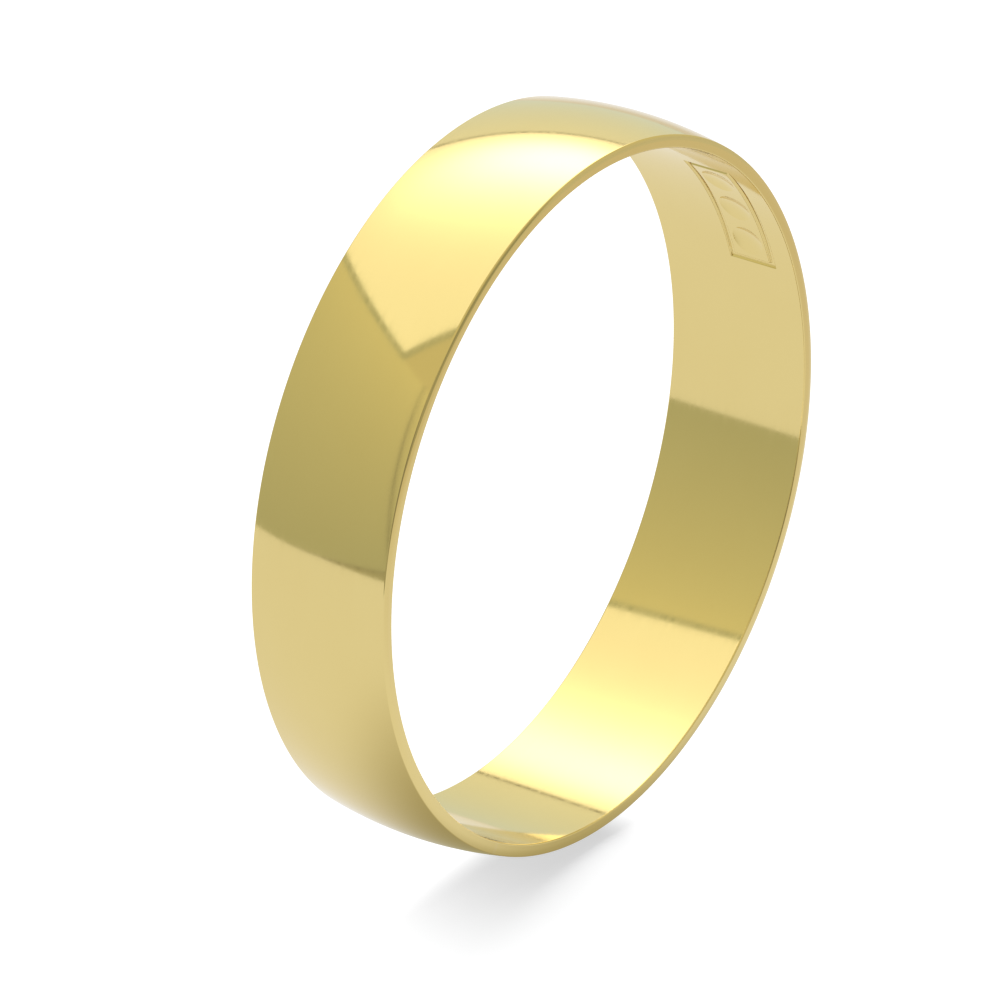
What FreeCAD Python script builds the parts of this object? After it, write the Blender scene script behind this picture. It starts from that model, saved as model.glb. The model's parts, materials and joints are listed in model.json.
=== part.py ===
import FreeCAD, Part
import math
import os

# A plain D-section wedding band: a strip of D-shaped wire bent round until its two ends meet,
# and the thin joint of gold solder that closes it. The band stands on its crown, with the
# finger's axis along Y, +Z up, and the origin at the centre of the finger bore.
# Lengths are in millimetres. Angles round the band are in degrees, from +X towards +Z.

# ---- driving dimensions ----
BORE_DIAMETER = 17.5        # inside diameter, ISO 8653 ring size 55
BAND_WIDTH = 3.97           # along the finger: 4 mm wire with both rims filed and polished
CROWN_WALL = 0.512          # thickness of the wall in the middle of the width
EDGE_WALL = 0.318           # thickness at the rims, if the dome ran on to a sharp edge
BORE_EDGE_RADIUS = 0.04     # polished-over edge between each flat rim and the bore
RIM_FLAT = 0.09             # width of the part of each rim that polishing has left flat
RIM_ROUNDING_RADIUS = 0.5   # gentle rounding of the rest of the rim
CORNER_RADIUS = 0.045       # between that rounding and the dome

SEAM_ANGLE = 240.0          # where the wire's two ends meet
SEAM_THICKNESS = 0.10       # of the solder between them, measured on the bore

STAMP_ANGLE = 31.5          # centre of the maker's stamp on the bore wall
STAMP_OFFSET = -0.725       # its distance from the middle of the width
STAMP_LENGTH = 3.97         # round the bore, over the border
STAMP_HEIGHT = 1.32         # along the finger, over the border
STAMP_DEPTH = 0.06          # of the border's incised line and of the dimples
STAMP_LINE = 0.13           # width of the border's incised line
DIMPLE_COUNT = 3
DIMPLE_HEIGHT = 0.86        # along the finger, where a dimple meets the bore wall
DIMPLE_PITCH = 1.244        # round the bore, centre to centre

# ---- worked out from the driving dimensions ----
BORE_RADIUS = BORE_DIAMETER / 2
HALF_WIDTH = BAND_WIDTH / 2
CROWN_RADIUS = BORE_RADIUS + CROWN_WALL
EDGE_RADIUS = BORE_RADIUS + EDGE_WALL
DOME_RISE = CROWN_RADIUS - EDGE_RADIUS
DOME_RADIUS = (HALF_WIDTH**2 + DOME_RISE**2) / (2 * DOME_RISE)
SEAM_SWEEP = math.degrees(SEAM_THICKNESS / BORE_RADIUS)
DIMPLE_RADIUS = ((DIMPLE_HEIGHT / 2) ** 2 + STAMP_DEPTH**2) / (2 * STAMP_DEPTH)

ORIGIN = FreeCAD.Vector(0, 0, 0)
BAND_AXIS = FreeCAD.Vector(0, -1, 0)    # turning about it runs from +X towards +Z
CUT_CLEARANCE = 0.2                     # how far each stamp cutter starts inside the bore


def section_point(radius, y):
    """A point of the wire's cross-section, drawn in the XY plane at angle zero."""
    return FreeCAD.Vector(radius, y, 0)


def line(start, end):
    return Part.LineSegment(start, end).toShape()


def arc(start, middle, end):
    return Part.Arc(start, middle, end).toShape()


def corner_centre(dome_centre, rounding_centre, side):
    """Centre of the small corner arc that runs smoothly into both the dome and the rim's rounding."""
    dome_reach = DOME_RADIUS - CORNER_RADIUS
    rim_reach = RIM_ROUNDING_RADIUS - CORNER_RADIUS
    across = rounding_centre - dome_centre
    along = (across.Length**2 + dome_reach**2 - rim_reach**2) / (2 * across.Length)
    aside = math.sqrt(dome_reach**2 - along**2)
    direction = section_point(across.x, across.y).normalize()
    return dome_centre + along * direction + side * aside * section_point(-direction.y, direction.x)


def half_section(side):
    """The rim half of the D on one side (-1 or 1): bore edge, flat rim, its rounding and the corner.
    Returns its edges and its two ends, on the bore and on the dome."""
    outward = section_point(0, side)
    edge_y = side * (HALF_WIDTH - BORE_EDGE_RADIUS)
    edge_centre = section_point(BORE_RADIUS + BORE_EDGE_RADIUS, edge_y)
    bore_end = section_point(BORE_RADIUS, edge_y)
    rim_inner = edge_centre + BORE_EDGE_RADIUS * outward
    edge_middle = edge_centre + BORE_EDGE_RADIUS * section_point(-1, side).normalize()
    rim_outer = rim_inner + section_point(RIM_FLAT, 0)

    dome_centre = section_point(CROWN_RADIUS - DOME_RADIUS, 0)
    rounding_centre = rim_outer - RIM_ROUNDING_RADIUS * outward
    centre = corner_centre(dome_centre, rounding_centre, side)
    rim_direction = (centre - rounding_centre).normalize()
    dome_direction = (centre - dome_centre).normalize()
    rounding_direction = (outward + rim_direction).normalize()
    corner_direction = (rim_direction + dome_direction).normalize()
    rounding_middle = rounding_centre + RIM_ROUNDING_RADIUS * rounding_direction
    corner_start = centre + CORNER_RADIUS * rim_direction
    corner_middle = centre + CORNER_RADIUS * corner_direction
    dome_end = centre + CORNER_RADIUS * dome_direction

    edges = [
        arc(bore_end, edge_middle, rim_inner),
        line(rim_inner, rim_outer),
        arc(rim_outer, rounding_middle, corner_start),
        arc(corner_start, corner_middle, dome_end),
    ]
    return edges, bore_end, dome_end


def wire_section():
    """The D-shaped cross-section of the wire: flat inside, low dome outside."""
    near_edges, near_bore, near_dome = half_section(-1)
    far_edges, far_bore, far_dome = half_section(1)
    dome = arc(near_dome, section_point(CROWN_RADIUS, 0), far_dome)
    bore = line(far_bore, near_bore)
    edges = near_edges + [dome] + far_edges + [bore]
    return Part.Face(Part.Wire(Part.__sortEdges__(edges)))


def turned(face, start, sweep):
    """A cross-section swept round the band's axis from one angle."""
    placed = face.copy()
    placed.rotate(ORIGIN, BAND_AXIS, start)
    return placed.revolve(ORIGIN, BAND_AXIS, sweep)


def bore_patch(length, height):
    """A rectangle of the bore wall centred on the stamp, as deep as the stamp."""
    sweep = math.degrees(length / BORE_RADIUS)
    corners = [
        section_point(BORE_RADIUS - CUT_CLEARANCE, STAMP_OFFSET - height / 2),
        section_point(BORE_RADIUS + STAMP_DEPTH, STAMP_OFFSET - height / 2),
        section_point(BORE_RADIUS + STAMP_DEPTH, STAMP_OFFSET + height / 2),
        section_point(BORE_RADIUS - CUT_CLEARANCE, STAMP_OFFSET + height / 2),
    ]
    face = Part.Face(Part.makePolygon(corners + corners[:1]))
    return turned(face, STAMP_ANGLE - sweep / 2, sweep)


def stamp_border():
    """The incised line round the stamp."""
    outer = bore_patch(STAMP_LENGTH, STAMP_HEIGHT)
    inner = bore_patch(STAMP_LENGTH - 2 * STAMP_LINE, STAMP_HEIGHT - 2 * STAMP_LINE)
    return outer.cut(inner)


def dimple(angle):
    """The ball that presses one shallow round dimple into the bore wall."""
    theta = math.radians(angle)
    reach = BORE_RADIUS + STAMP_DEPTH - DIMPLE_RADIUS
    centre = FreeCAD.Vector(reach * math.cos(theta), STAMP_OFFSET, reach * math.sin(theta))
    return Part.makeSphere(DIMPLE_RADIUS, centre)


def stamp_cutters():
    """The border and its row of equally spaced dimples."""
    pitch = math.degrees(DIMPLE_PITCH / BORE_RADIUS)
    first = STAMP_ANGLE - pitch * (DIMPLE_COUNT - 1) / 2
    dimples = [dimple(first + pitch * index) for index in range(DIMPLE_COUNT)]
    return [stamp_border()] + dimples


def band():
    """The bent wire, from one side of the solder round to the other, with the stamp in its bore."""
    body = turned(wire_section(), SEAM_ANGLE + SEAM_SWEEP / 2, 360 - SEAM_SWEEP)
    for cutter in stamp_cutters():
        body = body.cut(cutter)
    return body


def solder_seam():
    """The wafer of solder between the wire's ends, dressed flush with the band all round."""
    return turned(wire_section(), SEAM_ANGLE - SEAM_SWEEP / 2, SEAM_SWEEP)


def single_solid(shape):
    """The one solid in a shape, so that each sub-part is written as a plain solid."""
    solids = shape.Solids
    if len(solids) != 1 or not solids[0].isValid():
        raise ValueError("expected one valid solid")
    return solids[0]


os.makedirs("parts", exist_ok=True)
for name, shape in (("band", band()), ("solder_seam", solder_seam())):
    single_solid(shape).exportStep("parts/" + name + ".step")
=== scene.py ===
import json
import math

import bpy
import numpy as np
from mathutils import Matrix, Vector


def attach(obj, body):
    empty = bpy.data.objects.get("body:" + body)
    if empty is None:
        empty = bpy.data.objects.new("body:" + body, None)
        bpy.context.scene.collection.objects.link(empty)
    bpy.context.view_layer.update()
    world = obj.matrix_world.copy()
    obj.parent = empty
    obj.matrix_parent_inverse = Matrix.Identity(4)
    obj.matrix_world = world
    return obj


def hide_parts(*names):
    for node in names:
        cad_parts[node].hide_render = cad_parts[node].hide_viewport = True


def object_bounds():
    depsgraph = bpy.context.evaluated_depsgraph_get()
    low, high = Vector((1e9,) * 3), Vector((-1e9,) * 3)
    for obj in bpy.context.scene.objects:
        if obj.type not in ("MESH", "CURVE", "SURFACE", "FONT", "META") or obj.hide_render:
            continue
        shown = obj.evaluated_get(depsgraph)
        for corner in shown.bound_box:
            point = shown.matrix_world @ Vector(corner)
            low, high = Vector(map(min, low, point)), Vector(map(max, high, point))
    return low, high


# A plain D-section wedding band of polished yellow gold, standing on its crown in a small light box.
# Lengths are in metres, in the frame's axes: the finger's axis is Y and +Z is up.
# Angles are in degrees, except for theta. Those round the band run from +X towards +Z.

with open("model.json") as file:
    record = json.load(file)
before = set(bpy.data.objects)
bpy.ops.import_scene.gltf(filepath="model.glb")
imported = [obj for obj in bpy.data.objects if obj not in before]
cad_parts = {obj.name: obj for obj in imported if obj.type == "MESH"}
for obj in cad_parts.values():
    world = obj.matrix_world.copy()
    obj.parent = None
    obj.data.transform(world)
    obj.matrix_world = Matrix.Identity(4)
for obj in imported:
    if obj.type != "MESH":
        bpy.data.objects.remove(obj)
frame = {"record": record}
CAD_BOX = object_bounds()
MM = 0.001

# ---- the band's section and stamp, as part.py has them ----
RECORD_MOUNTS = {mount["name"]: mount for mount in frame["record"]["mounts"]}
BORE_RADIUS = RECORD_MOUNTS["finger_bore"]["dims"]["r_mm"] * MM
HALF_WIDTH = -RECORD_MOUNTS["near_rim"]["pos_m"][1]
CROWN_WALL = 0.512 * MM
EDGE_WALL = 0.318 * MM
BORE_EDGE_RADIUS = 0.04 * MM
RIM_FLAT = 0.09 * MM
RIM_ROUNDING_RADIUS = 0.5 * MM
CORNER_RADIUS = 0.045 * MM
SEAM_ANGLE = 240.0
SEAM_SWEEP = math.degrees(0.10 * MM / BORE_RADIUS)
STAMP_ANGLE = 31.5
STAMP_OFFSET = -0.725 * MM
STAMP_LENGTH = 3.97 * MM
STAMP_HEIGHT = 1.32 * MM
STAMP_DEPTH = 0.06 * MM
STAMP_LINE = 0.13 * MM
DIMPLE_COUNT = 3
DIMPLE_HEIGHT = 0.86 * MM
DIMPLE_PITCH = 1.244 * MM

CROWN_RADIUS = BORE_RADIUS + CROWN_WALL
DOME_RISE = CROWN_WALL - EDGE_WALL
DOME_RADIUS = (HALF_WIDTH**2 + DOME_RISE**2) / (2 * DOME_RISE)
DIMPLE_RADIUS = ((DIMPLE_HEIGHT / 2) ** 2 + STAMP_DEPTH**2) / (2 * STAMP_DEPTH)

# ---- mesh density ----
COARSE_STEP = 1.0           # angle between columns of faces round the band
STAMP_STEP = 0.12           # and across the stamp
SEAM_COLUMNS = 3            # columns of faces of the solder joint
STAMP_ROW = 0.016 * MM      # height of a row of faces across the stamp
STAMP_MARGIN = 0.06 * MM    # plain metal round the stamp that has the fine grid too
FAR_ROWS, NEAR_ROWS = 6, 3  # rows of faces on the plain bore, on each side of the stamp
EDGE_ROWS = 5               # and round each bore edge
ROUNDING_ROWS = 6           # round each rim's rounding
CORNER_ROWS = 6             # round each corner
DOME_ROWS = 20              # and over the dome
LINE_SLOPE = 0.045 * MM     # width of the sloping sides of the stamp's border
SAME_POINT = 0.0001 * MM    # points of the section closer than this are one point

# ---- camera: azimuth 0 looks along +Y, and a negative azimuth stands to the left ----
CAMERA_AZIMUTH = -54.726
CAMERA_ELEVATION = 25.977
CAMERA_DISTANCE = 0.4461
CAMERA_ASIDE = -0.85 * MM
CAMERA_ABOVE = -0.57 * MM
CAMERA_LENS = 659.4         # millimetres, on the sensor below
CAMERA_SENSOR = 36
CAMERA_CLIP = 0.01          # nothing nearer than this is shown


# ---------------------------------------------------------------- section
class Section:
    """The band's section as a closed run of points, each with its outward normal.
    A point is (radius, y) and the run goes along the bore, the near rim, the dome and the far rim."""

    def __init__(self):
        self.points = []
        self.normals = []
        self.on_bore = []

    def add(self, radius, y, normal_radius, normal_y, on_bore=False):
        """Adds a point, unless the run already starts or ends there."""
        for end in self.points[:1] + self.points[-1:]:
            if math.dist(end, (radius, y)) < SAME_POINT:
                return
        self.points.append((radius, y))
        self.normals.append((normal_radius, normal_y))
        self.on_bore.append(on_bore)

    def arc(self, centre, radius, start, end, rows):
        """Points on an arc, both ends included. Its angles run from +radius towards +y."""
        for theta in np.radians(np.linspace(start, end, rows + 1)):
            c, s = math.cos(theta), math.sin(theta)
            self.add(centre[0] + radius * c, centre[1] + radius * s, c, s)


def bore_rows():
    """Heights of the bore's rows, from the far edge to the near one, close together across the stamp."""
    edge = HALF_WIDTH - BORE_EDGE_RADIUS
    reach = STAMP_HEIGHT / 2 + STAMP_MARGIN
    top, bottom = STAMP_OFFSET + reach, STAMP_OFFSET - reach
    fine = round((top - bottom) / STAMP_ROW)
    return np.concatenate([
        np.linspace(edge, top, FAR_ROWS + 1)[:-1],
        np.linspace(top, bottom, fine + 1),
        np.linspace(bottom, -edge, NEAR_ROWS + 1)[1:],
    ])


def corner_centre(dome_centre, rounding_centre):
    """Centre of the small arc that runs smoothly into both the dome and the far rim's rounding."""
    dome_reach = DOME_RADIUS - CORNER_RADIUS
    rim_reach = RIM_ROUNDING_RADIUS - CORNER_RADIUS
    across = Vector(rounding_centre) - Vector(dome_centre)
    along = (across.length**2 + dome_reach**2 - rim_reach**2) / (2 * across.length)
    aside = math.sqrt(dome_reach**2 - along**2)
    direction = across.normalized()
    return Vector(dome_centre) + direction * along + Vector((-direction.y, direction.x)) * aside


def angle_between(centre, place):
    return math.degrees(math.atan2(place[1] - centre[1], place[0] - centre[0]))


def wire_section():
    """The D-shaped section: bore, near rim, dome and far rim. The near half mirrors the far one."""
    edge = (BORE_RADIUS + BORE_EDGE_RADIUS, HALF_WIDTH - BORE_EDGE_RADIUS)
    rounding = (edge[0] + RIM_FLAT, HALF_WIDTH - RIM_ROUNDING_RADIUS)
    dome = (CROWN_RADIUS - DOME_RADIUS, 0)
    corner = corner_centre(dome, rounding)
    corner_angle = angle_between(rounding, corner)
    dome_angle = angle_between(dome, corner)
    section = Section()
    for y in bore_rows():
        section.add(BORE_RADIUS, y, -1.0, 0.0, on_bore=True)
    section.arc((edge[0], -edge[1]), BORE_EDGE_RADIUS, 180, 270, EDGE_ROWS)
    section.arc((rounding[0], -rounding[1]), RIM_ROUNDING_RADIUS, -90, -corner_angle, ROUNDING_ROWS)
    section.arc((corner[0], -corner[1]), CORNER_RADIUS, -corner_angle, -dome_angle, CORNER_ROWS)
    section.arc(dome, DOME_RADIUS, -dome_angle, dome_angle, DOME_ROWS)
    section.arc(corner, CORNER_RADIUS, dome_angle, corner_angle, CORNER_ROWS)
    section.arc(rounding, RIM_ROUNDING_RADIUS, corner_angle, 90, ROUNDING_ROWS)
    section.arc(edge, BORE_EDGE_RADIUS, 90, 180, EDGE_ROWS)
    return section


# ---------------------------------------------------------------- stamp
def line_depth(distance):
    """Depth of an incised line at a distance from its centre line: flat bottom, smooth sides."""
    t = np.clip((STAMP_LINE / 2 + LINE_SLOPE / 2 - np.abs(distance)) / LINE_SLOPE, 0, 1)
    return STAMP_DEPTH * t * t * (3 - 2 * t)


def dimple_depth(along, across):
    """Depth of a round dimple at a distance from its middle, round the bore and across it."""
    reach = BORE_RADIUS + STAMP_DEPTH - DIMPLE_RADIUS
    theta = along / BORE_RADIUS
    under_root = DIMPLE_RADIUS**2 - across**2 - (reach * np.sin(theta))**2
    return np.maximum(reach * np.cos(theta) + np.sqrt(np.maximum(under_root, 0)) - BORE_RADIUS, 0)


def stamp_depth(along, y):
    """Depth of the stamp at a place on the bore: an incised border, and a row of dimples in it."""
    across = y - STAMP_OFFSET
    half_length = (STAMP_LENGTH - STAMP_LINE) / 2
    half_height = (STAMP_HEIGHT - STAMP_LINE) / 2
    border = np.maximum(np.abs(along) - half_length, np.abs(across) - half_height)
    depth = line_depth(border)
    for index in range(DIMPLE_COUNT):
        middle = (index - (DIMPLE_COUNT - 1) / 2) * DIMPLE_PITCH
        depth = np.maximum(depth, dimple_depth(along - middle, across))
    return depth


def press_stamp(angles, radii, heights, on_bore):
    """Sinks the bore's points by the stamp's depth. Returns their radii and the depth's slopes."""
    along = np.radians(angles - STAMP_ANGLE)[:, None] * BORE_RADIUS
    y = heights[None, :]
    inside = on_bore[None, :].astype(float)
    step = STAMP_ROW / 4
    depth = stamp_depth(along, y) * inside
    slope_round = (stamp_depth(along + step, y) - stamp_depth(along - step, y)) / (2 * step) * inside
    slope_across = (stamp_depth(along, y + step) - stamp_depth(along, y - step)) / (2 * step) * inside
    return radii[None, :] + depth, slope_round, slope_across


# ---------------------------------------------------------------- swept pieces
def band_angles():
    """Columns of the band, from one side of the solder round to the other."""
    start = SEAM_ANGLE - 360 + SEAM_SWEEP / 2
    end = SEAM_ANGLE - SEAM_SWEEP / 2
    reach = math.degrees((STAMP_LENGTH / 2 + STAMP_MARGIN) / BORE_RADIUS)
    fine_start, fine_end = STAMP_ANGLE - reach, STAMP_ANGLE + reach
    before = round((fine_start - start) / COARSE_STEP)
    across = round((fine_end - fine_start) / STAMP_STEP)
    after = round((end - fine_end) / COARSE_STEP)
    return np.concatenate([
        np.linspace(start, fine_start, before + 1)[:-1],
        np.linspace(fine_start, fine_end, across + 1),
        np.linspace(fine_end, end, after + 1)[1:],
    ])


def seam_angles():
    """Columns of the solder, from one end of the wire to the other."""
    return SEAM_ANGLE + np.linspace(-SEAM_SWEEP / 2, SEAM_SWEEP / 2, SEAM_COLUMNS + 1)


def swept_piece(name, angles, stamped):
    """A closed solid: the section swept through the angles, with a flat cap on each end."""
    section = wire_section()
    points = np.array(section.points)
    normals = np.array(section.normals)
    on_bore = np.array(section.on_bore)
    columns, rows = len(angles), len(points)
    radii = np.broadcast_to(points[:, 0], (columns, rows))
    slope_round = slope_across = np.zeros((columns, rows))
    if stamped:
        radii, slope_round, slope_across = press_stamp(angles, points[:, 0], points[:, 1], on_bore)
    theta = np.radians(angles)[:, None]
    outward = np.stack([np.cos(theta), 0 * theta, np.sin(theta)], axis=-1)
    tangent = np.stack([-np.sin(theta), 0 * theta, np.cos(theta)], axis=-1)
    along_y = np.array([0.0, 1.0, 0.0])
    vertices = radii[..., None] * outward + points[None, :, 1, None] * along_y
    vertex_normals = (
        normals[None, :, 0, None] * outward
        + (normals[None, :, 1] + slope_across)[..., None] * along_y
        + slope_round[..., None] * tangent
    )
    vertex_normals /= np.linalg.norm(vertex_normals, axis=-1, keepdims=True)

    quads = [
        (c * rows + r, c * rows + (r + 1) % rows, (c + 1) * rows + (r + 1) % rows, (c + 1) * rows + r)
        for c in range(columns - 1)
        for r in range(rows)
    ]
    first_cap = tuple(range(rows - 1, -1, -1))
    last_cap = tuple((columns - 1) * rows + r for r in range(rows))
    mesh = bpy.data.meshes.new(name)
    mesh.from_pydata(vertices.reshape(-1, 3).tolist(), [], quads + [first_cap, last_cap])
    add_uv(mesh, angles, points, rows)
    set_normals(mesh, vertex_normals.reshape(-1, 3), [-tangent[0, 0], tangent[-1, 0]])
    piece = bpy.data.objects.new(name, mesh)
    bpy.context.scene.collection.objects.link(piece)
    return piece


def add_uv(mesh, angles, points, rows):
    """U runs once round the finger and V once round the section, so that nothing overlaps."""
    steps = np.linalg.norm(np.roll(points, -1, axis=0) - points, axis=1)
    v_at_row = np.concatenate([[0.0], np.cumsum(steps)]) / steps.sum()
    u_at_column = (angles - (SEAM_ANGLE - 360)) / 360
    layer = mesh.uv_layers.new(name="UVMap")
    cap_count = 2
    coordinates = []
    for polygon in mesh.polygons:
        is_cap = polygon.index >= len(mesh.polygons) - cap_count
        row_indices = [vertex % rows for vertex in polygon.vertices]
        wraps = not is_cap and 0 in row_indices and rows - 1 in row_indices
        for vertex, row in zip(polygon.vertices, row_indices):
            v = v_at_row[rows] if wraps and row == 0 else v_at_row[row]
            coordinates += [u_at_column[vertex // rows] % 1.0, v]
    layer.data.foreach_set("uv", coordinates)


def set_normals(mesh, vertex_normals, cap_normals):
    """Exact normals on the swept faces, and flat ones on the two caps."""
    mesh.shade_smooth()
    loop_vertices = np.empty(len(mesh.loops), dtype=np.int32)
    mesh.loops.foreach_get("vertex_index", loop_vertices)
    loop_normals = vertex_normals[loop_vertices]
    for polygon, normal in zip(list(mesh.polygons)[-2:], cap_normals):
        loop_normals[list(polygon.loop_indices)] = normal
    mesh.normals_split_custom_set(loop_normals.tolist())


# ---------------------------------------------------------------- materials
class MaterialNodes:
    """A new material, and a short way to add and join its shader nodes."""

    def __init__(self, name):
        self.material = bpy.data.materials.new(name)
        self.material.use_nodes = True
        self.tree = self.material.node_tree
        self.tree.nodes.clear()

    def add(self, kind, **settings):
        node = self.tree.nodes.new(kind)
        for key, value in settings.items():
            setattr(node, key, value)
        return node

    def join(self, source, target):
        self.tree.links.new(source, target)

    def put(self, value, target):
        """Sets a socket to a number or a colour, or joins another socket to it."""
        if isinstance(value, tuple):
            target.default_value = (*value, 1.0)
        elif isinstance(value, (int, float)):
            target.default_value = value
        else:
            self.join(value, target)

    def math(self, operation, first, second):
        node = self.add("ShaderNodeMath", operation=operation)
        self.put(first, node.inputs[0])
        self.put(second, node.inputs[1])
        return node.outputs[0]

    def span(self, value, start, end, low=0.0, high=1.0, shape="LINEAR"):
        """Runs from low to high as the value runs from start to end, and no further."""
        node = self.add("ShaderNodeMapRange", interpolation_type=shape)
        for name, number in (("From Min", start), ("From Max", end), ("To Min", low), ("To Max", high)):
            node.inputs[name].default_value = number
        self.join(value, node.inputs["Value"])
        return node.outputs["Result"]

    def bell(self, square):
        """A smooth bump, from 1 where the square of the distance is 0 down to 0 far away."""
        return self.math("POWER", math.e, self.math("MULTIPLY", square, -1.0))

    def ramp(self, factor, low, high):
        """Blends two colours by a factor from 0 to 1."""
        node = self.add("ShaderNodeMix", data_type="RGBA")
        self.join(factor, node.inputs["Factor"])
        self.put(low, node.inputs[6])
        self.put(high, node.inputs[7])
        return node.outputs[2]

    def position(self):
        return self.add("ShaderNodeNewGeometry").outputs["Position"]

    def coordinates(self):
        """The place's own X, Y and Z."""
        split = self.add("ShaderNodeSeparateXYZ")
        self.join(self.position(), split.inputs[0])
        return split.outputs

    def from_place(self, operation, vector):
        """The place's distance from another, or its dot product with a direction."""
        node = self.add("ShaderNodeVectorMath", operation=operation)
        self.join(self.position(), node.inputs[0])
        node.inputs[1].default_value = vector
        return node.outputs["Value"]

    def glow(self, colour, strength=1.0):
        shader = self.add("ShaderNodeEmission")
        self.put(colour, shader.inputs["Color"])
        self.put(strength, shader.inputs["Strength"])
        return shader

    def finish(self, shader):
        """Makes a shader the material's surface, and returns the material."""
        output = self.add("ShaderNodeOutputMaterial")
        self.join(shader.outputs[0], output.inputs["Surface"])
        return self.material


NOISE_ROUGHNESS = 0.6
NOISE_LOW, NOISE_HIGH = 0.3, 0.7    # nearly all of the noise lies between these
CLOUD_SCALE = (14.0, 3.0)           # noise cells round the finger, and round the section
HAZE_SCALE = (26.0, 60.0)
HAIRLINE_SCALE = (30.0, 1500.0)
HAIRLINE_HEIGHT = 0.002 * MM
HAIRLINE_STRENGTH = 0.02


def metal_noise(nodes, scale, detail, shift):
    """Noise over the band's surface, moved so that no two layers are alike."""
    coordinates = nodes.add("ShaderNodeTexCoord")
    mapping = nodes.add("ShaderNodeMapping")
    mapping.inputs["Scale"].default_value = (*scale, 1.0)
    mapping.inputs["Location"].default_value = (*shift, 0.0)
    nodes.join(coordinates.outputs["UV"], mapping.inputs["Vector"])
    noise = nodes.add("ShaderNodeTexNoise", noise_dimensions="2D")
    noise.inputs["Scale"].default_value = 1.0
    noise.inputs["Detail"].default_value = detail
    noise.inputs["Roughness"].default_value = NOISE_ROUGHNESS
    nodes.join(mapping.outputs["Vector"], noise.inputs["Vector"])
    return noise.outputs["Fac"]


def gold_material(name, dark, light, smooth, dull):
    """Polished gold: cloudy colour, buffing haze along the band, and hairline polishing marks."""
    nodes = MaterialNodes(name)
    shader = nodes.add("ShaderNodeBsdfPrincipled")
    shader.inputs["Metallic"].default_value = 1.0
    cloud = metal_noise(nodes, CLOUD_SCALE, 3.0, (1.3, 0.481))
    nodes.join(nodes.ramp(cloud, dark, light), shader.inputs["Base Color"])
    haze = metal_noise(nodes, HAZE_SCALE, 4.0, (4.1, 1.517))
    nodes.join(nodes.span(haze, NOISE_LOW, NOISE_HIGH, smooth, dull), shader.inputs["Roughness"])
    hairlines = metal_noise(nodes, HAIRLINE_SCALE, 2.0, (7.7, 2.849))
    bump = nodes.add("ShaderNodeBump")
    bump.inputs["Strength"].default_value = HAIRLINE_STRENGTH
    bump.inputs["Distance"].default_value = HAIRLINE_HEIGHT
    nodes.join(hairlines, bump.inputs["Height"])
    nodes.join(bump.outputs["Normal"], shader.inputs["Normal"])
    return nodes.finish(shader)


# ---------------------------------------------------------------- light box
BOX_TURN = 45.0             # angle from +X to the direction that runs to the back of the box
FLOOR_Z = CAD_BOX[0][2]
DEEP = Vector((math.cos(math.radians(BOX_TURN)), math.sin(math.radians(BOX_TURN)), 0))
LEFT = Vector((-DEEP.y, DEEP.x, 0))
UP = Vector((0, 0, 1))

# Distances are from the origin: back, left, or up.
CEILING = 0.095             # height of the lit ceiling
BACK = 0.175                # the ceiling's edges
FRONT = -0.021
LEFT_TOP = 0.080
RIGHT = -0.110
BORDER = 0.0045             # width of the ceiling's dark border
OVER = CEILING + 0.001      # height of what closes the box above the border
BACK_FOOT = 0.192           # foot of the back wall, which leans in a little at the top
BACK_LEAN = 0.008
BACK_WALL_LEFT = 0.210
BACK_WALL_RIGHT = -0.160
NEAR_END = -0.160           # front end of the left wall, the open right side and the table
LEFT_FOOT = 0.065           # the left wall's foot
RIGHT_FOOT = -0.060         # the sheet's right edge
RIGHT_FRONT = -0.012        # on the right, the box is open in front of this
RIGHT_PALE = 0.030          # height from which the right side is as pale as it gets
POST = -0.050               # where the front post stands against the left wall
POST_WIDTH = 0.0015
POST_FOOT = LEFT_FOOT - 0.001
POST_TOP = LEFT_TOP + 0.003
TABLE = FLOOR_Z - 0.0005    # height of the table under the sheet
TABLE_RIGHT = FLOOR_Z - 0.0003

HOT_SPOT = (0.090, -0.028)  # how far back and left the ceiling is brightest
HOT_SPOT_REACH = 0.052
HOT_SPOT_EXTRA = 2.6        # brightness that it adds to the ceiling's own
CEILING_STRENGTH = 1.32

# Colours are scene linear. Where a side has two, the first is at the floor and the second higher up.
CEILING_COLOUR = (1.0, 0.98, 0.92)
BACK_LOW, BACK_HIGH = (0.78, 0.85, 0.80), (1.02, 1.03, 0.98)
SIDE_DARK, SIDE_PALE = (0.55, 0.57, 0.47), (0.78, 0.73, 0.52)
LEFT_PALE = (0.86, 0.82, 0.58)
RIGHT_LOW = (0.72, 0.70, 0.62)
GAP_LOW = (0.34, 0.34, 0.27)
BORDER_COLOUR = (0.56, 0.58, 0.46)
POST_COLOUR = (0.36, 0.36, 0.30)
TABLE_COLOUR = (0.46, 0.46, 0.37)
ROOM_COLOUR = (0.30, 0.29, 0.26)
WHITE = (1.0, 1.0, 1.0)
BLACK = (0.0, 0.0, 0.0)

SHEET_NEAR = (0.97, 0.97, 1.0)      # the reflected sheet, under the band and to its left
SHEET_RIGHT = (0.78, 0.72, 0.62)    # and where it is painted dimmer, away to the right
SHEET_SHADED = (0.40, 0.36, 0.20)   # and in the middle of the painted shade under the band
SHEET_DIM, SHEET_BRIGHT = -0.036, -0.008    # how far left the dimmer part ends and the bright one starts
SHADE_MIDDLE = (-2.5 * MM, -0.8 * MM)
SHADE_REACH = (9.5 * MM, 2.8 * MM)  # along the band and across it

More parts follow.
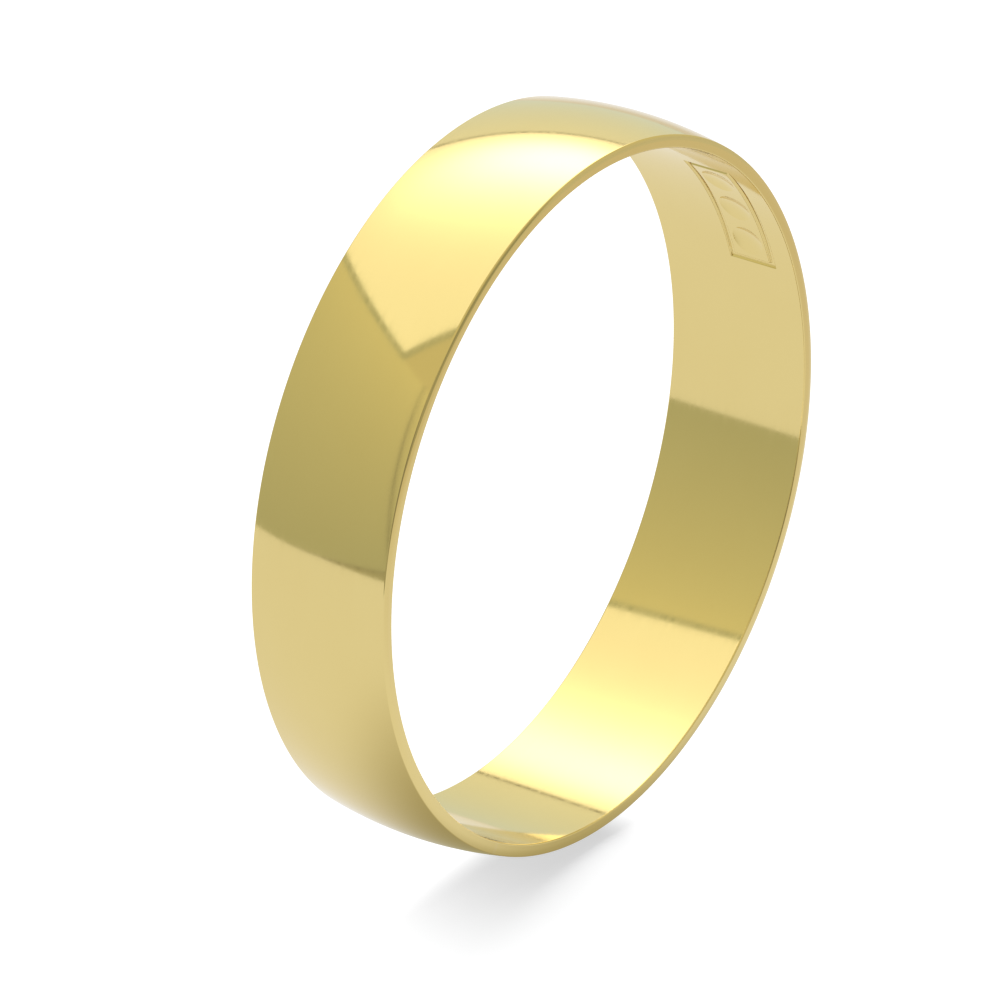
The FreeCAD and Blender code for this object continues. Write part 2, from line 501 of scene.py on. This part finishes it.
LAMP_FROM = (0.35, 0.95)    # how far back and left the lamp stands, for each unit of height
LAMP_SPREAD = 88.0          # angle that it fills, seen from the band
LAMP_STRENGTH = 4.8
FLOOR_LAMPLIT, FLOOR_EVEN = 0.54, 0.65
FLOOR_WHITENED = 0.60       # painted light added where the floor has faded to plain white
FADE_X = (0.0, 2.2 * MM)            # the lamp's shadow is painted out between these places along the band
FADE_Y = (-0.75 * MM, 0.7 * MM)     # and between these across it
BACKDROP_RADIUS = 0.7
BACKDROP_HEIGHT = 0.7
BACKDROP_OVERLAP = 0.01     # how far the backdrop goes down past the floor
BACKDROP_SIDES = 32


def in_box(deep, left, up):
    """A place in the light box: how far back, how far left, and its height above the origin."""
    return DEEP * deep + LEFT * left + UP * up


def stage_mesh(name, vertices, faces, material):
    """A part of the stage, which isn't part of the object."""
    mesh = bpy.data.meshes.new(name)
    mesh.from_pydata([tuple(vertex) for vertex in vertices], [], faces)
    mesh.materials.append(material)
    staged = bpy.data.objects.new(name, mesh)
    bpy.context.scene.collection.objects.link(staged)
    return staged


def reflected_sheet(name, corners, material):
    """A flat sheet that the band reflects. The camera never sees it, and the floor isn't lit by it."""
    sheet = stage_mesh(name, corners, [tuple(range(len(corners)))], material)
    sheet.visible_camera = False
    sheet.visible_diffuse = False
    sheet.visible_shadow = False


def ceiling_material():
    """The lit diffuser: even, with a brighter patch where the lamp stands behind it."""
    nodes = MaterialNodes("ceiling_glow")
    away = nodes.from_place("DISTANCE", in_box(*HOT_SPOT, CEILING))
    share = nodes.math("DIVIDE", away, HOT_SPOT_REACH)
    patch = nodes.bell(nodes.math("POWER", share, 2.0))
    strength = nodes.math("ADD", nodes.math("MULTIPLY", patch, HOT_SPOT_EXTRA), CEILING_STRENGTH)
    return nodes.finish(nodes.glow(CEILING_COLOUR, strength))


def wall_material(name, low, high, end):
    """Lit cloth as a glow of painted light, from one colour at the floor to another at the height end."""
    nodes = MaterialNodes(name)
    share = nodes.span(nodes.coordinates()["Z"], FLOOR_Z, end)
    return nodes.finish(nodes.glow(nodes.ramp(share, low, high)))


def wall(name, foot_start, foot_end, top_end, top_start, low, high, end=CEILING):
    """A side of the box between four places, each given as how far back, left and up it is."""
    corners = [in_box(*place) for place in (foot_start, foot_end, top_end, top_start)]
    reflected_sheet(name, corners, wall_material(name + "_glow", low, high, end))


def level(name, height, front_left, back_right, colour):
    """A level part of the box between two corners, each given as how far back and left it is."""
    front, left = front_left
    back, right = back_right
    wall(name,
         (front, right, height), (front, left, height),
         (back, left, height), (back, right, height),
         colour, colour)


def light_box():
    """The lit ceiling, the pale back, the grey sides with their front post, and the dark open front."""
    edge_left, edge_front = LEFT_TOP + BORDER, FRONT - BORDER
    reflected_sheet("ceiling_panel", [
        in_box(FRONT, RIGHT, CEILING),
        in_box(FRONT, LEFT_TOP, CEILING),
        in_box(BACK, LEFT_TOP, CEILING),
        in_box(BACK, RIGHT, CEILING),
    ], ceiling_material())
    wall("back_wall",
         (BACK_FOOT, BACK_WALL_LEFT, FLOOR_Z), (BACK_FOOT, BACK_WALL_RIGHT, FLOOR_Z),
         (BACK_FOOT - BACK_LEAN, BACK_WALL_RIGHT, OVER), (BACK_FOOT - BACK_LEAN, BACK_WALL_LEFT, OVER),
         BACK_LOW, BACK_HIGH)
    wall("left_wall",
         (NEAR_END, LEFT_FOOT, FLOOR_Z), (BACK_FOOT, LEFT_FOOT, FLOOR_Z),
         (BACK_FOOT, edge_left, OVER), (NEAR_END, edge_left, OVER),
         SIDE_DARK, LEFT_PALE)
    wall("right_opening",
         (NEAR_END, RIGHT, FLOOR_Z), (RIGHT_FRONT, RIGHT, FLOOR_Z),
         (RIGHT_FRONT, RIGHT, OVER), (NEAR_END, RIGHT, OVER),
         GAP_LOW, SIDE_PALE, end=RIGHT_PALE)
    wall("right_wall",
         (RIGHT_FRONT, RIGHT, FLOOR_Z), (BACK_FOOT, RIGHT, FLOOR_Z),
         (BACK_FOOT, RIGHT, OVER), (RIGHT_FRONT, RIGHT, OVER),
         RIGHT_LOW, SIDE_PALE, end=RIGHT_PALE)
    wall("front_post",
         (POST, POST_FOOT, FLOOR_Z), (POST + POST_WIDTH, POST_FOOT, FLOOR_Z),
         (POST + POST_WIDTH, POST_TOP, CEILING), (POST, POST_TOP, CEILING),
         POST_COLOUR, POST_COLOUR)
    level("ceiling_front", OVER, (NEAR_END, edge_left), (edge_front, RIGHT), SIDE_PALE)
    level("ceiling_left_border", CEILING, (edge_front, edge_left), (BACK, LEFT_TOP), BORDER_COLOUR)
    level("ceiling_front_border", CEILING, (edge_front, LEFT_TOP), (FRONT, RIGHT), BORDER_COLOUR)
    level("table", TABLE, (NEAR_END, LEFT_FOOT), (BACK_FOOT, RIGHT), TABLE_COLOUR)
    level("table_right", TABLE_RIGHT, (RIGHT_FRONT, RIGHT_FOOT), (BACK_FOOT, RIGHT), RIGHT_LOW)


def sheet_material():
    """The reflected sheet: painted dimmer to the right, with a warm painted shade under the band."""
    nodes = MaterialNodes("paper_in_reflection")
    place = nodes.coordinates()
    squares = []
    for axis, middle, reach in zip("XY", SHADE_MIDDLE, SHADE_REACH):
        share = nodes.math("DIVIDE", nodes.math("SUBTRACT", place[axis], middle), reach)
        squares.append(nodes.math("MULTIPLY", share, share))
    # Painted shade: the glow darkens towards SHEET_SHADED round SHADE_MIDDLE, under the band.
    shade = nodes.bell(nodes.math("ADD", *squares))
    # Painted light: the glow dims from SHEET_NEAR towards SHEET_RIGHT on the right.
    share_left = nodes.span(nodes.from_place("DOT_PRODUCT", LEFT), SHEET_DIM, SHEET_BRIGHT)
    paper = nodes.ramp(share_left, SHEET_RIGHT, SHEET_NEAR)
    return nodes.finish(nodes.glow(nodes.ramp(shade, paper, SHEET_SHADED)))


def paper_sheet():
    """The sheet that lines the box, with its front corners cut off. The band reflects it."""
    front_edge = [(-0.042, 0.040), (-0.036, 0.050), (-0.029, 0.058), (-0.021, 0.0635)]
    left_edge = front_edge + [(0.0, LEFT_FOOT), (BACK_FOOT, LEFT_FOOT)]
    right_scale = RIGHT_FOOT / LEFT_FOOT
    right_edge = [(deep, left * right_scale) for deep, left in reversed(left_edge)]
    corners = [in_box(deep, left, FLOOR_Z) for deep, left in left_edge + right_edge]
    reflected_sheet("paper_sheet", corners, sheet_material())


def floor_material():
    """Matt white paper, part lamplit and part evenly lit. Behind the band's foot, and on its +X side,
    the lamplit share fades into painted light, which paints the lamp's shadow out to plain white."""
    nodes = MaterialNodes("floor_white")
    place = nodes.coordinates()
    lit = nodes.math("MULTIPLY",
                     nodes.span(place["X"], *FADE_X, 1.0, 0.0, "SMOOTHSTEP"),
                     nodes.span(place["Y"], *FADE_Y, 1.0, 0.0, "SMOOTHSTEP"))
    paper = nodes.add("ShaderNodeBsdfDiffuse")
    nodes.join(nodes.ramp(lit, BLACK, (FLOOR_LAMPLIT,) * 3), paper.inputs["Color"])
    # Painted light: glow that takes the place of the faded lamplight, so no shadow shows there.
    whitened = nodes.math("MULTIPLY", nodes.math("SUBTRACT", 1.0, lit), FLOOR_WHITENED)
    glow = nodes.glow(WHITE, nodes.math("ADD", whitened, FLOOR_EVEN))
    both = nodes.add("ShaderNodeAddShader")
    nodes.join(paper.outputs[0], both.inputs[0])
    nodes.join(glow.outputs[0], both.inputs[1])
    return nodes.finish(both)


def backdrop_material():
    nodes = MaterialNodes("backdrop_white")
    return nodes.finish(nodes.glow(WHITE))


def floor_and_backdrop():
    """A plain white floor, and a round white backdrop, that only the camera sees."""
    reach = BACKDROP_RADIUS
    corners = [
        (-reach, -reach, FLOOR_Z),
        (reach, -reach, FLOOR_Z),
        (reach, reach, FLOOR_Z),
        (-reach, reach, FLOOR_Z),
    ]
    floor = stage_mesh("floor", corners, [(0, 1, 2, 3)], floor_material())
    sides = BACKDROP_SIDES
    turns = [math.tau * k / sides for k in range(sides)]
    ring = [(reach * math.cos(turn), reach * math.sin(turn)) for turn in turns]
    low_ring = [(x, y, FLOOR_Z - BACKDROP_OVERLAP) for x, y in ring]
    high_ring = [(x, y, BACKDROP_HEIGHT) for x, y in ring]
    panels = [(k, (k + 1) % sides, sides + (k + 1) % sides, sides + k) for k in range(sides)]
    backdrop = stage_mesh("backdrop", low_ring + high_ring, panels, backdrop_material())
    for shown in (floor, backdrop):
        for ray in ("diffuse", "glossy", "transmission", "volume_scatter", "shadow"):
            setattr(shown, "visible_" + ray, False)


def lamp():
    """A broad soft light from above, and from the box's left. It lights the floor and casts the shadow."""
    data = bpy.data.lights.new("lamp", "SUN")
    data.energy = LAMP_STRENGTH
    data.angle = math.radians(LAMP_SPREAD)
    data.cycles.use_multiple_importance_sampling = False
    light = bpy.data.objects.new("lamp", data)
    light.visible_glossy = False
    source = in_box(*LAMP_FROM, 1.0)
    light.rotation_euler = source.to_track_quat("Z", "Y").to_euler()
    bpy.context.scene.collection.objects.link(light)


def surround():
    """The dim room that is left where the box is open."""
    world = bpy.data.worlds.new("room")
    world.use_nodes = True
    world.node_tree.nodes["Background"].inputs["Color"].default_value = (*ROOM_COLOUR, 1.0)
    world.cycles_visibility.diffuse = False
    bpy.context.scene.world = world


def camera():
    azimuth, elevation = math.radians(CAMERA_AZIMUTH), math.radians(CAMERA_ELEVATION)
    back = Vector((
        math.sin(azimuth) * math.cos(elevation),
        -math.cos(azimuth) * math.cos(elevation),
        math.sin(elevation),
    ))
    right = Vector((math.cos(azimuth), math.sin(azimuth), 0))
    up = back.cross(right)
    data = bpy.data.cameras.new("camera")
    data.sensor_width = CAMERA_SENSOR
    data.lens = CAMERA_LENS
    data.clip_start = CAMERA_CLIP
    lens = bpy.data.objects.new("camera", data)
    place = back * CAMERA_DISTANCE + right * CAMERA_ASIDE + up * CAMERA_ABOVE
    lens.matrix_world = Matrix.Translation(place) @ Matrix((right, up, back)).transposed().to_4x4()
    bpy.context.scene.collection.objects.link(lens)
    bpy.context.scene.camera = lens


# ---------------------------------------------------------------- the object
polished_gold = gold_material("polished_gold", (0.73, 0.588, 0.240), (0.75, 0.612, 0.258), 0.06, 0.10)
band = swept_piece("band_metal", band_angles(), stamped=True)
band.data.materials.append(polished_gold)
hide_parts("band")
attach(band, "root")

gold_solder = gold_material("gold_solder", (0.73, 0.595, 0.265), (0.75, 0.62, 0.285), 0.08, 0.12)
solder = swept_piece("solder_joint", seam_angles(), stamped=False)
solder.data.materials.append(gold_solder)
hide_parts("solder_seam")
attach(solder, "root")

for metal in (band, solder):
    metal.visible_diffuse = False       # keeps its golden glow off the white floor

floor_and_backdrop()
paper_sheet()
light_box()
lamp()
surround()
camera()
bpy.context.scene.view_settings.view_transform = "Standard"
